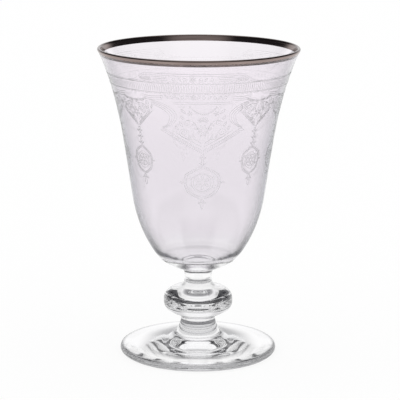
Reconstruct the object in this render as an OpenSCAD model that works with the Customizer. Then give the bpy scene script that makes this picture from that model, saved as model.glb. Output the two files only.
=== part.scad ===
// Stemmed wine goblet in clear glass with a metal band fired onto the lip.
// The bowl, the stem and the foot are three gathers of glass, welded face to face.
// Lengths are in millimetres. The part stands on z = 0 with its axis along z.
// A lean is the angle of an outline from upright, growing as the wall opens outwards.

/* [Foot] */
// Diameter of the foot
foot_d = 76.5; // [62:0.5:95]
// Height of the foot's rounded edge
foot_edge_h = 3.6; // [2.6:0.1:4.8]
// Slope of the foot's upper face beside its edge, in degrees
foot_edge_slope = 8; // [2:0.5:14]
// Diameter at which the upper face turns up into the flare
foot_flare_d = 34; // [28:0.5:44]
// Height at which the upper face turns up into the flare
foot_flare_z = 7.5; // [6.4:0.1:8.4]
// Slope of the upper face at that turn, in degrees
foot_flare_slope = 15; // [8:0.5:24]
// Height of the weld face on top of the foot
foot_h = 9.8; // [9.2:0.1:14]
// Width of the flat ring that the foot stands on
foot_ring_w = 5; // [2:0.5:10]
// Depth of the hollow under the foot
foot_hollow_h = 1.7; // [0.5:0.1:3]

/* [Welds] */
// Diameter of the weld between the foot and the stem
foot_weld_d = 22; // [19:0.2:26]
// Lean of the outline across the weld of the foot
foot_weld_lean = 32; // [15:1:45]
// Diameter of the weld between the stem and the bowl
bowl_weld_d = 13.8; // [12.6:0.2:17]
// Lean of the outline across the weld of the bowl
bowl_weld_lean = 8; // [2:1:20]

/* [Stem] */
// Length of the lower neck, from the weld of the foot up to the knop
lower_neck_h = 8.3; // [6:0.1:40]
// Diameter of the lower neck at its narrowest
lower_neck_d = 16.8; // [12:0.2:18]
// Distance from the knop down to the narrowest point of the lower neck
lower_waist_gap = 1.9; // [1.6:0.1:4]
// Diameter of the knop, a flattened ball with full shoulders
knop_d = 33.7; // [26:0.1:44]
// Height of the knop
knop_h = 14.9; // [11:0.1:24]
// Fullness of the knop's shoulders: 2 is a plain oval, and more is squarer
knop_fullness = 2.7; // [2:0.1:3.2]
// Angle up the knop from its middle at which the lower neck leaves it
knop_lower_angle = 58; // [48:1:64]
// Angle up the knop from its middle at which the upper neck leaves it
knop_upper_angle = 64; // [54:1:68]
// Length of the upper neck, from the knop up to the weld of the bowl
upper_neck_h = 6.6; // [5.2:0.1:60]
// Diameter of the upper neck at its narrowest
upper_neck_d = 13.2; // [9:0.2:14]
// Distance from the knop up to the narrowest point of the upper neck
upper_waist_gap = 4.4; // [2.4:0.1:5]

/* [Bowl] */
// Height of the bowl, from its weld up to the lip
bowl_h = 110.3; // [90:0.1:150]
// Diameter of the bowl across the lip
rim_d = 96.8; // [80:0.2:110]
// Lean of the wall at the lip
rim_lean = 24.9; // [5:0.1:35]
// Diameter of the bowl where the flare begins
body_d = 63.9; // [54:0.1:76]
// Height of that place above the weld
body_rise = 38.1; // [30:0.1:50]
// Lean of the wall at that place
body_lean = 8.9; // [3:0.1:14]
// Diameter of the heel, where the wall turns in towards the base
heel_d = 41; // [36:0.2:48]
// Height of the heel above the weld
heel_rise = 9.4; // [8.6:0.1:14]
// Lean of the wall at the heel
heel_lean = 36; // [25:0.5:45]
// Diameter of the underside where the nub leaves it
nub_d = 17.8; // [17:0.2:24]
// Height of that place above the weld
nub_rise = 2.1; // [2:0.1:4]
// Lean of the underside at that place
nub_lean = 70; // [62:1:80]
// Thickness of the wall at the lip
lip_wall = 1.4; // [1:0.1:2.2]
// Thickness of the wall where the flare begins
body_wall = 2.1; // [1.4:0.1:3.2]
// Thickness of the wall at the heel
heel_wall = 2.4; // [1.8:0.1:4]
// Thickness of the solid base, from the weld up to the floor inside
base_h = 8; // [6.6:0.1:8.6]
// Diameter of the floor inside, up to its rounded corner
floor_d = 33; // [26:0.2:35]
// How far the floor rises from its middle to that corner
floor_rise = 0.4; // [0.1:0.1:0.8]

/* [Rim band] */
// Thickness of the metal band
band_t = 0.1; // [0.08:0.01:0.3]
// Height of the band on the outside, from the lip down
band_outer_h = 1.8; // [1.8:0.1:8]
// Height of the band on the inside, from the lip down
band_inner_h = 2.8; // [1.8:0.1:8]

/* [Hidden] */
// Facets around a revolved surface on screen
$fn = 128;
// Straight steps along each stretch of an outline, and along each side of the band
steps = 16;
band_steps = 4;
// Halvings that find a height on an outline
halvings = 24;
// Points of an outline that are nearer than this are one point
same_point = 0.0001;
// Leans of an outline that runs level, outwards or inwards
outwards = 90;
inwards = -90;
upright = 0;

// Heights of the welds, of the knop and of the lip
foot_weld_z = foot_h;
knop_low_z = foot_weld_z + lower_neck_h;
knop_z = knop_low_z + knop_h / 2;
knop_high_z = knop_low_z + knop_h;
bowl_weld_z = knop_high_z + upper_neck_h;
lip_z = bowl_weld_z + bowl_h;

// Direction of an outline at a lean, and the direction square to it, towards the inside
function heading(lean) = [sin(lean), cos(lean)];
function inside(lean) = [-cos(lean), sin(lean)];

// A station is [point, lean]. A stretch is the smooth curve between two stations, as its four handles,
// whose reach makes an even turn come out as an arc.
function stretch(from, to) =
    let (turn = to[1] - from[1])
    let (reach = norm(to[0] - from[0]) / (3 * pow(cos(turn / 4), 2)))
    [from[0], from[0] + reach * heading(from[1]), to[0] - reach * heading(to[1]), to[0]];

// Point at a share t of the way along a stretch, and the unit normal to its left there
function along(s, t) =
    pow(1 - t, 3) * s[0] + 3 * pow(1 - t, 2) * t * s[1] + 3 * (1 - t) * t * t * s[2] + t * t * t * s[3];
function normal(s, t) =
    let (d = pow(1 - t, 2) * (s[1] - s[0]) + 2 * (1 - t) * t * (s[2] - s[1]) + t * t * (s[3] - s[2]))
    [-d[1], d[0]] / norm(d);

// Points along a stretch from one share to another, moved along the normal by a distance
function points(s, count, t0 = 0, t1 = 1, moved = 0) =
    [for (i = [0:count])
        let (t = t0 + (t1 - t0) * i / count)
        along(s, t) + moved * normal(s, t)];

// Points through a list of stations
function outline(stations) =
    [for (k = [1:len(stations) - 1]) each points(stretch(stations[k - 1], stations[k]), steps)];

// Points around a circle from one bearing to another, counted from level outwards
function arc(centre, radius, from, to, count) =
    [for (i = [0:count])
        let (bearing = from + (to - from) * i / count)
        centre + radius * [cos(bearing), sin(bearing)]];

// The share at which a climbing stretch passes a height
function share_at(s, z, low = 0, high = 1, left = halvings) =
    let (mid = (low + high) / 2)
    left == 0 ? mid
    : along(s, mid)[1] < z ? share_at(s, z, mid, high, left - 1)
    : share_at(s, z, low, mid, left - 1);

function backwards(list) = [for (i = [len(list) - 1:-1:0]) list[i]];

// Stations of the bowl's outer outline, from the weld up to the rounding of the lip
lip_r = lip_wall / 2;
lip_centre = [rim_d / 2 - lip_r, lip_z - lip_r];
bowl_weld = [[bowl_weld_d / 2, bowl_weld_z], bowl_weld_lean];
nub = [[nub_d / 2, bowl_weld_z + nub_rise], nub_lean];
heel = [[heel_d / 2, bowl_weld_z + heel_rise], heel_lean];
body = [[body_d / 2, bowl_weld_z + body_rise], body_lean];
rim = [lip_centre - lip_r * inside(rim_lean), rim_lean];

// Stations of the inner outline, a wall's thickness inside the outer ones
function through_wall(station, wall) = [station[0] + wall * inside(station[1]), station[1]];
inner_floor = [[0, bowl_weld_z + base_h], outwards];
floor_slope = 2 * atan2(floor_rise, floor_d / 2);
inner_corner = [[floor_d / 2, bowl_weld_z + base_h + floor_rise], outwards - floor_slope];
inner_heel = through_wall(heel, heel_wall);
inner_body = through_wall(body, body_wall);
inner_rim = through_wall(rim, lip_wall);

// The flared stretches below the lip, and where the band ends on them
outer_flare = stretch(body, rim);
inner_flare = stretch(inner_body, inner_rim);
band_outer_t = share_at(outer_flare, lip_z - band_outer_h);
band_inner_t = share_at(inner_flare, lip_z - band_inner_h);

// From the band's edge outside, over the lip, to its edge inside, at a distance from the glass
function over_lip(off) = concat(
    points(outer_flare, band_steps, band_outer_t, 1, -off),
    arc(lip_centre, lip_r + off, -rim_lean, 180 - rim_lean, 2 * band_steps),
    points(inner_flare, band_steps, 1, band_inner_t, off));

// Station on the knop, whose outline is an oval filled out at the shoulders, at an angle up from its middle
function on_knop(angle) =
    let (side = sign(angle), power = 2 / knop_fullness)
    [[knop_d / 2 * pow(cos(angle), power), knop_z + side * knop_h / 2 * pow(abs(sin(angle)), power)],
     -side * atan(knop_d / knop_h * pow(abs(tan(angle)), 2 - power))];

// Stations of the stem, from the weld of the foot up to the weld of the bowl
stem_base = [[foot_weld_d / 2, foot_weld_z], -foot_weld_lean];
lower_waist = [[lower_neck_d / 2, knop_low_z - lower_waist_gap], upright];
upper_waist = [[upper_neck_d / 2, knop_high_z + upper_waist_gap], upright];

// Stations of the foot, from its weld out to the edge, and across the hollow below
foot_edge_r = foot_edge_h / 2;
foot_edge_centre = [foot_d / 2 - foot_edge_r, foot_edge_r];
foot_top = [[foot_weld_d / 2, foot_weld_z], 180 - foot_weld_lean];
foot_flare = [[foot_flare_d / 2, foot_flare_z], outwards + foot_flare_slope];
foot_edge = [foot_edge_centre + foot_edge_r * heading(foot_edge_slope), outwards + foot_edge_slope];
hollow_r = foot_edge_centre[0] - foot_ring_w;
hollow_edge = [[hollow_r, 0], inwards + 2 * atan2(foot_hollow_h, hollow_r)];
hollow_top = [[0, foot_hollow_h], inwards];

// A solid of revolution from an outline that may repeat a point where two stretches meet
module turned(path) {
    rotate_extrude()
    polygon([for (i = [0:len(path) - 1])
        if (i == 0 || norm(path[i] - path[i - 1]) > same_point) path[i]]);
}

// Blown bowl: a bell whose wall thins towards the lip, on a solid base with a short nub
module bowl() {
    color("lavender", 0.4)
    turned(concat(
        [[0, bowl_weld_z]],
        outline([bowl_weld, nub, heel, body]),
        points(outer_flare, steps, 0, band_outer_t),
        over_lip(0),
        points(inner_flare, steps, band_inner_t, 0),
        backwards(outline([inner_floor, inner_corner, inner_heel, inner_body]))));
}

// Pressed stem: a flattened ball between two coved necks
module stem() {
    color("lavender", 0.4)
    turned(concat(
        [[0, foot_weld_z]],
        outline([stem_base, lower_waist, on_knop(-knop_lower_angle)]),
        [for (i = [0:2 * steps])
            on_knop(-knop_lower_angle + (knop_lower_angle + knop_upper_angle) * i / (2 * steps))[0]],
        outline([on_knop(knop_upper_angle), upper_waist, bowl_weld]),
        [[0, bowl_weld_z]]));
}

// Foot: a shallow cone with a round edge, hollowed below so that it stands on a ring
module foot() {
    color("lavender", 0.4)
    turned(concat(
        [[0, foot_weld_z]],
        outline([foot_top, foot_flare, foot_edge]),
        arc(foot_edge_centre, foot_edge_r, 90 - foot_edge_slope, -90, steps),
        outline([hollow_edge, hollow_top])));
}

// Metal band, fired over the lip and a little way down both faces of the wall
module rim_band() {
    color("silver")
    turned(concat(over_lip(0), backwards(over_lip(band_t))));
}

bowl();
stem();
foot();
rim_band();
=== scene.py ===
import math
from bisect import bisect
from collections import namedtuple

import bmesh
import bpy
from bpy.props import FloatProperty, FloatVectorProperty, IntProperty, PointerProperty
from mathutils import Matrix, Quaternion, Vector


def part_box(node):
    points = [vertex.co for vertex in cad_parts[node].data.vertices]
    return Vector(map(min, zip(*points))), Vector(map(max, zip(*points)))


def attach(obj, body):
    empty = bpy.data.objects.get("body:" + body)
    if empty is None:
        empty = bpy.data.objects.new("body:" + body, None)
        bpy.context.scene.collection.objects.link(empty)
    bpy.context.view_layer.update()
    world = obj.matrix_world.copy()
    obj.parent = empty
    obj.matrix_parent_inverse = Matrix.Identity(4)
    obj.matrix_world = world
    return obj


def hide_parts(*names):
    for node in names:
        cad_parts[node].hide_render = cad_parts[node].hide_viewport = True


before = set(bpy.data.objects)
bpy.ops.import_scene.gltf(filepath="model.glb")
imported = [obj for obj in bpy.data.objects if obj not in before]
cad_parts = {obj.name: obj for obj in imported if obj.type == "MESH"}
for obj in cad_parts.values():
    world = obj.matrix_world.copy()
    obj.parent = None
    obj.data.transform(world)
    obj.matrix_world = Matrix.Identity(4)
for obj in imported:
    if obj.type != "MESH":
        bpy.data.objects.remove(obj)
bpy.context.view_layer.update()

bl_info = {
    "name": "Wine goblet",
    "version": (1, 0, 0),
    "blender": (4, 5, 0),
    "location": "View3D > Sidebar > Goblet",
    "description": "Clear wine goblet with an etched frieze and a metal lip band",
    "category": "Object",
}

BODY = "root"

MM = 0.001
TURN = 2.0 * math.pi
LEVEL = math.radians(90.0)
UPRIGHT = 0.0

FOOT_LOW, FOOT_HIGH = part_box("foot")
STEM_LOW, STEM_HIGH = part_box("stem")
BOWL_LOW, BOWL_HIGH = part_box("bowl")
BAND_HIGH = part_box("rim_band")[1]


# Settings

def length(name, default, description):
    """A size in metres."""
    return FloatProperty(name=name, description=description, default=default, unit="LENGTH", precision=5)


def angle(name, degrees, description):
    """An angle, given in degrees."""
    return FloatProperty(name=name, description=description, default=math.radians(degrees), subtype="ANGLE")


def number(name, default, description, least=0.0):
    """A plain number or a share."""
    return FloatProperty(name=name, description=description, default=default, min=least)


def whole(name, default, least, description):
    """A whole number."""
    return IntProperty(name=name, description=description, default=default, min=least)


def colour(name, rgb, description):
    """A colour, as light and not as a screen shows it."""
    return FloatVectorProperty(
        name=name, description=description, default=rgb + (1.0,), size=4, min=0.0, max=1.0, subtype="COLOR")


class GobletSizes(bpy.types.PropertyGroup):
    """Sizes of the turned pieces, with the frame's boxes as the leading ones"""

    foot_d: length("Foot", FOOT_HIGH[0] - FOOT_LOW[0], "Diameter of the foot")
    foot_h: length("Foot weld", FOOT_HIGH[2], "Height of the weld face on top of the foot")
    foot_edge_h: length("Foot edge", 3.6 * MM, "Height of the foot's rounded edge")
    foot_edge_slope: angle("Edge slope", 8.0, "Slope of the foot's upper face beside its edge")
    foot_flare_d: length("Foot flare", 34 * MM, "Diameter at which the upper face turns up into the flare")
    foot_flare_z: length("Flare height", 7.5 * MM, "Height at which the upper face turns up into the flare")
    foot_flare_slope: angle("Flare slope", 15.0, "Slope of the upper face at that turn")
    foot_ring_w: length("Standing ring", 5 * MM, "Width of the flat ring that the foot stands on")
    foot_hollow_h: length("Foot hollow", 1.7 * MM, "Depth of the hollow under the foot")
    foot_weld_d: length("Foot weld width", 22 * MM, "Diameter of the weld between foot and stem")
    foot_weld_lean: angle("Foot weld lean", 32.0, "Lean of the outline across the foot's weld")
    bowl_weld_z: length("Bowl weld", STEM_HIGH[2], "Height of the weld between stem and bowl")
    bowl_weld_d: length("Bowl weld width", 13.8 * MM, "Diameter of the weld between stem and bowl")
    bowl_weld_lean: angle("Bowl weld lean", 8.0, "Lean of the outline across the bowl's weld")
    lower_neck_h: length("Lower neck", 8.3 * MM, "Length of the neck between the foot and the knop")
    lower_neck_d: length("Lower waist", 16.8 * MM, "Narrowest diameter of the lower neck")
    lower_waist_gap: length("Lower waist gap", 1.9 * MM, "From the knop down to the lower waist")
    knop_d: length("Knop", STEM_HIGH[0] - STEM_LOW[0], "Diameter of the knop")
    knop_h: length("Knop height", 14.9 * MM, "Height of the knop")
    knop_fullness: number("Knop fullness", 2.7, "2 is a plain oval, and more is squarer", 2.0)
    knop_lower_angle: angle("Lower leave", 58.0, "Angle up the knop at which the lower neck leaves it")
    knop_upper_angle: angle("Upper leave", 64.0, "Angle up the knop at which the upper neck leaves it")
    upper_neck_d: length("Upper waist", 13.2 * MM, "Narrowest diameter of the upper neck")
    upper_waist_gap: length("Upper waist gap", 4.4 * MM, "From the knop up to the upper waist")
    seam_h: length("Seam", 0.06 * MM, "How far the two mould seams stand out of the stem")
    seam_w: length("Seam width", 0.5 * MM, "Width of a mould seam")
    seam_bearing: angle("Seam bearing", 21.0, "Bearing of the first mould seam, to the right of the front")
    lip_z: length("Lip", BOWL_HIGH[2], "Height of the glass lip")
    rim_d: length("Rim", BOWL_HIGH[0] - BOWL_LOW[0], "Diameter of the glass lip")
    rim_lean: angle("Rim lean", 24.9, "Lean of the wall at the lip")
    body_d: length("Body", 63.9 * MM, "Diameter of the bowl where the flare begins")
    body_rise: length("Body rise", 38.1 * MM, "Height of that place above the weld")
    body_lean: angle("Body lean", 8.9, "Lean of the wall at that place")
    heel_d: length("Heel", 41 * MM, "Diameter of the heel")
    heel_rise: length("Heel rise", 9.4 * MM, "Height of the heel above the weld")
    heel_lean: angle("Heel lean", 36.0, "Lean of the wall at the heel")
    nub_d: length("Nub", 17.8 * MM, "Diameter of the underside where the nub leaves it")
    nub_rise: length("Nub rise", 2.1 * MM, "Height of that place above the weld")
    nub_lean: angle("Nub lean", 70.0, "Lean of the underside at that place")
    lip_wall: length("Lip wall", 1.4 * MM, "Thickness of the wall at the lip")
    body_wall: length("Body wall", 2.1 * MM, "Thickness of the wall where the flare begins")
    heel_wall: length("Heel wall", 2.4 * MM, "Thickness of the wall at the heel")
    base_h: length("Base", 8 * MM, "Thickness of the solid base above the weld")
    floor_d: length("Inner floor", 33 * MM, "Diameter of the floor inside, up to its rounded corner")
    floor_rise: length("Floor rise", 0.4 * MM, "How far the floor rises to that corner")
    band_t: length("Band", BAND_HIGH[2] - BOWL_HIGH[2], "Thickness of the metal band")
    band_outer_h: length("Band outside", 1.8 * MM, "Height of the band on the outside of the lip")
    band_inner_h: length("Band inside", 2.8 * MM, "Height of the band on the inside of the lip")
    around: whole("Steps around", 256, 32, "Faces around a turned piece")
    steps: whole("Steps along", 24, 8, "Faces along a stretch of outline")


class GobletFrieze(bpy.types.PropertyGroup):
    """Sizes of the etched frieze on the outside of the bowl"""

    line_w: length("Line", 0.2 * MM, "Width of an etched line")
    relief: length("Relief", 0.03 * MM, "Thickness of the frosted lines")
    gap: length("Gap", 0.01 * MM, "Clearance between the lines and the polished wall")
    bearing: angle("Bearing", 3.0, "Bearing of the first large pendant, to the right of the front")
    from_inside: number("From inside", 0.15, "How much of the lines shows through the wall from inside")
    crest_lag: angle("Crest lag", 6.5, "How far a crest lies to the left of its pendant")
    repeats: whole("Repeats", 3, 1, "Number of large pendants")
    reeds: whole("Reeds", 232, 12, "Number of reeds in the band")
    scallops: whole("Scallops", 116, 12, "Number of scallops along the band")


class GobletColours(bpy.types.PropertyGroup):
    """Colours of the glass and of the metal"""

    # The bowl's tints by height are partly the glass's own tint and partly painted shade: darker in the body
    # and flare, lighter at the heel and lip.
    heel_tint: colour("Bowl at the heel", (0.93, 0.92, 0.94), "Tint of the blown bowl at its heel")
    # Painted shade: the bowl's inner floor is tinted darker than its wall.
    inner_floor_shade: colour("Inner floor", (0.8, 0.785, 0.81), "Tint of the bowl's inner floor")
    lower_tint: colour("Bowl above the heel", (0.935, 0.91, 0.94), "Tint of the bowl just above its heel")
    bowl_tint: colour("Bowl", (0.89, 0.864, 0.895), "Tint of the blown bowl where the flare begins")
    flare_tint: colour("Bowl in the flare", (0.9, 0.872, 0.904), "Tint half way up the flare")
    lip_tint: colour("Bowl at the lip", (0.98, 0.945, 0.98), "Tint of the bowl where its wall is thin")
    stem_tint: colour("Stem", (0.995, 0.993, 0.996), "Tint of the pressed stem and of the foot")
    # Painted shade: the foot's round edge is tinted darker.
    foot_edge: colour("Foot edge", (0.56, 0.56, 0.57), "Tint of the foot's round edge")
    # Painted shade: the edge-on tints darken the bowl's wall where it is seen edge on.
    heel_edge_shade: colour("Heel, edge on", (0.015, 0.015, 0.02), "Tint of the heel where it is seen edge on")
    lower_edge_shade: colour("Above the heel, edge on", (0.05, 0.05, 0.06), "Tint just above the heel, edge on")
    bowl_edge_shade: colour("Bowl, edge on", (0.12, 0.12, 0.15), "Tint of the bowl where it is seen edge on")
    flare_edge_shade: colour("Flare, edge on", (0.2, 0.2, 0.24), "Tint of the flare where it is seen edge on")
    lip_edge_shade: colour("Bowl at the lip, edge on", (0.45, 0.44, 0.47), "Tint of the thin wall seen edge on")
    etch_tint: colour("Etching", (0.96, 0.965, 0.96), "Tint of the frosted lines")
    # Painted shade: the etched lines go darker where they are seen edge on.
    etch_edge_shade: colour("Etching, edge on", (0.12, 0.13, 0.125), "Tint of those lines where seen edge on")
    # The lip's own metal colour, and a painted highlight that it takes in streaks below its crest.
    lip_dark: colour("Lip, dark", (0.15, 0.115, 0.105), "Metal of the lip where the film is thick")
    lip_highlight: colour("Lip, light", (0.47, 0.375, 0.35), "Metal of the lip where the film is thin")


class GobletStage(bpy.types.PropertyGroup):
    """Camera, floor and light"""

    camera_back: length("Camera back", 0.835, "Distance of the camera from the axis")
    camera_up: length("Camera up", 0.2608, "Height of the camera above the floor")
    aim_right: length("Aim right", 0.78 * MM, "How far right of the axis the camera aims")
    aim_up: length("Aim up", 75.3 * MM, "Height at which the camera aims")
    roll: angle("Roll", 0.2, "Turn of the camera about its line of sight")
    lens: number("Lens", 158.5, "Focal length in millimetres")
    floor_r: length("Floor", 4.0, "Radius of the floor")
    floor_drop: length("Floor gap", 0.05 * MM, "How far the floor lies under the foot")
    white: colour("White", (1.0, 1.0, 1.0), "Floor and background")
    panel: colour("Panel", (0.98, 0.98, 0.99), "Soft panel of light behind and overhead")
    low: number("Low", 0.85, "Share of that light low down, on all sides")
    seam: number("Seam", 0.4, "How much a band of the backdrop is dimmed")
    before: number("Before", 0.45, "Share of that light high in front")
    dusk: colour("Dusk", (0.03, 0.03, 0.035), "Studio half way up, at the sides and in front")
    # Painted shadow on the floor, seen only by the glass: under the stem, and around the foot.
    under: colour("Under", (0.2, 0.2, 0.21), "Floor under the stem, as the glass sees it")
    shade: colour("Shade", (0.04, 0.04, 0.045), "Floor around the foot, as the glass sees it")


# Outlines

Station = namedtuple("Station", "place lean")


def station(diameter, height, lean):
    """A point of an outline, as radius and height, with the outline's lean from upright there."""
    return Station(Vector((diameter / 2.0, height)), lean)


def heading(lean):
    """Direction of an outline at a lean."""
    return Vector((math.sin(lean), math.cos(lean)))


def inside(lean):
    """Direction square to an outline at a lean, towards the inside."""
    return Vector((-math.cos(lean), math.sin(lean)))


def stretch(start, end):
    """Four handles of the smooth curve between two stations; an even turn comes out as an arc."""
    turn = end.lean - start.lean
    reach = (end.place - start.place).length / (3.0 * math.cos(turn / 4.0) ** 2)
    return (start.place, start.place + reach * heading(start.lean),
            end.place - reach * heading(end.lean), end.place)


def along(curve, t):
    """Point at a share t of the way along a curve of four handles."""
    a, b, c, d = curve
    s = 1.0 - t
    return s ** 3 * a + 3.0 * s * s * t * b + 3.0 * s * t * t * c + t ** 3 * d


def normal(curve, t):
    """Unit normal to the left of a curve at a share t."""
    a, b, c, d = curve
    s = 1.0 - t
    way = s * s * (b - a) + 2.0 * s * t * (c - b) + t * t * (d - c)
    return Vector((-way.y, way.x)).normalized()


def spread(start, end, count):
    """Even steps from one value to another, both included."""
    return [start + (end - start) * i / count for i in range(count + 1)]


def points(curve, count, start=0.0, end=1.0, moved=0.0):
    """Points along a curve from one share to another, moved along the normal by a distance."""
    return [along(curve, t) + moved * normal(curve, t) for t in spread(start, end, count)]


def outline(stations, count):
    """Points through a list of stations."""
    return [p for pair in zip(stations, stations[1:]) for p in points(stretch(*pair), count)]


def ray(bearing):
    """Direction at a bearing that is counted from level outwards."""
    return Vector((math.cos(bearing), math.sin(bearing)))


def arc(centre, radius, start, end, count):
    """Points around a circle from one bearing to another."""
    return [centre + radius * ray(b) for b in spread(start, end, count)]


HALVINGS = 40


def share_at(curve, height):
    """The share at which a climbing curve passes a height."""
    low, high = 0.0, 1.0
    for _ in range(HALVINGS):
        middle = (low + high) / 2.0
        if along(curve, middle).y < height:
            low = middle
        else:
            high = middle
    return low


class BowlOutline:
    """The bowl's stations and curves, shared by the bowl, its band and its frieze"""

    LIP_STEPS = 6

    def __init__(self, sizes):
        weld_z = sizes.bowl_weld_z
        self.sizes = sizes
        self.lip_r = sizes.lip_wall / 2.0
        self.lip_centre = Vector((sizes.rim_d / 2.0 - self.lip_r, sizes.lip_z - self.lip_r))
        self.weld = station(sizes.bowl_weld_d, weld_z, sizes.bowl_weld_lean)
        self.nub = station(sizes.nub_d, weld_z + sizes.nub_rise, sizes.nub_lean)
        self.heel = station(sizes.heel_d, weld_z + sizes.heel_rise, sizes.heel_lean)
        self.body = station(sizes.body_d, weld_z + sizes.body_rise, sizes.body_lean)
        self.rim = Station(self.lip_centre - self.lip_r * inside(sizes.rim_lean), sizes.rim_lean)
        self.floor = station(0.0, weld_z + sizes.base_h, LEVEL)
        corner_z = weld_z + sizes.base_h + sizes.floor_rise
        slope = 2.0 * math.atan2(sizes.floor_rise, sizes.floor_d / 2.0)
        self.corner = station(sizes.floor_d, corner_z, LEVEL - slope)
        self.inner_heel = self.through_wall(self.heel, sizes.heel_wall)
        self.inner_body = self.through_wall(self.body, sizes.body_wall)
        self.inner_rim = self.through_wall(self.rim, sizes.lip_wall)
        self.flare = stretch(self.body, self.rim)
        self.inner_flare = stretch(self.inner_body, self.inner_rim)
        self.band_share = share_at(self.flare, sizes.lip_z - sizes.band_outer_h)
        self.inner_band_share = share_at(self.inner_flare, sizes.lip_z - sizes.band_inner_h)

    @staticmethod
    def through_wall(outer, wall):
        """A station moved through the wall to the inside."""
        return Station(outer.place + wall * inside(outer.lean), outer.lean)

    def over_lip(self, off):
        """From the band's edge outside, over the lip, to its edge inside, at a distance from the glass."""
        lean = self.sizes.rim_lean
        count = self.LIP_STEPS
        return (points(self.flare, count, self.band_share, 1.0, -off)
                + arc(self.lip_centre, self.lip_r + off, -lean, math.pi - lean, 2 * count)
                + points(self.inner_flare, count, 1.0, self.inner_band_share, off))


# Meshes

WELDED = 1
SAME_POINT = 1e-7
WELD_REACH = 1e-6
LEVEL_ENOUGH = 0.999
CREASE = math.radians(40.0)


def turned(profile, around, closed=False):
    """A solid of revolution about Z from (radius, height) points."""
    bm = bmesh.new()
    verts = [bm.verts.new((p.x, 0.0, p.y)) for p in profile]
    edges = [bm.edges.new(pair) for pair in zip(verts, verts[1:])]
    if closed:
        edges.append(bm.edges.new((verts[-1], verts[0])))
    bmesh.ops.remove_doubles(bm, verts=bm.verts[:], dist=SAME_POINT)
    bmesh.ops.spin(bm, geom=bm.verts[:] + bm.edges[:], cent=(0.0, 0.0, 0.0), axis=(0.0, 0.0, 1.0),
                   angle=TURN, steps=around, use_merge=True)
    bmesh.ops.remove_doubles(bm, verts=bm.verts[:], dist=SAME_POINT)
    bmesh.ops.recalc_face_normals(bm, faces=bm.faces[:])
    return bm


def smoothed(bm, welds=()):
    """Smooth shading, broken at creases, and the second material on the level faces at the welds."""
    for face in bm.faces:
        face.smooth = True
        level = abs(face.normal.z) > LEVEL_ENOUGH
        height = face.calc_center_median().z
        if level and any(abs(height - weld) < WELD_REACH for weld in welds):
            face.material_index = WELDED
    for edge in bm.edges:
        if len(edge.link_faces) == 2 and edge.calc_face_angle() > CREASE:
            edge.smooth = False
    return bm


def mesh_of(name, bm):
    """A mesh made of a bmesh, which is used up."""
    mesh = bpy.data.meshes.new(name)
    bm.to_mesh(mesh)
    bm.free()
    return mesh


def new_piece(name, bm, materials, replaced=None):
    """Makes a mesh object of a bmesh, dresses it and ties it to the frame."""
    mesh = mesh_of(name, bm)
    for material in materials:
        mesh.materials.append(material)
    piece = bpy.data.objects.new(name, mesh)
    bpy.context.scene.collection.objects.link(piece)
    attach(piece, BODY)
    if replaced:
        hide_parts(replaced)


# Etched frieze

def mm(across, up):
    """A place on the unrolled wall, in millimetres."""
    return Vector((across, up)) * MM


def line(a, b, count):
    """A straight path."""
    return [a.lerp(b, t) for t in spread(0.0, 1.0, count)]


def bow(a, b, sag, count):
    """A path from a to b that bends to its left by sag at the middle."""
    side = (b - a).orthogonal().normalized() * sag
    return [a.lerp(b, t) + 4.0 * side * t * (1.0 - t) for t in spread(0.0, 1.0, count)]


def coil(centre, start_r, end_r, start, turns, count):
    """A spiral about a centre."""
    bearings = spread(start, start + turns * TURN, count)
    return [centre + radius * ray(b) for radius, b in zip(spread(start_r, end_r, count), bearings)]


def all_round(count):
    """Even bearings all round."""
    return spread(0.0, TURN, count)[:count]


def loop(centre, across, up, count):
    """A closed oval."""
    path = [centre + Vector((across * math.cos(b), up * math.sin(b))) for b in all_round(count)]
    return path + path[:1]


LEAF_STEPS = 5


def leaf(base, tip, swell, count=LEAF_STEPS):
    """A closed pointed oval from base to tip."""
    there = bow(base, tip, swell, count)
    back = bow(tip, base, swell, count)
    return there + back[1:]


def mirrored(path):
    """The same path on the other side of the upright axis."""
    return [Vector((-p.x, p.y)) for p in path]


def about(path, centre, factor):
    """A path drawn smaller or larger about a centre."""
    return [centre + factor * (p - centre) for p in path]


# Second material of the frieze, and the reeded band's edges in millimetres above the table
UNDERSIDE = 1
REED_LOW = 134.3
REED_HIGH = 138.7


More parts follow.
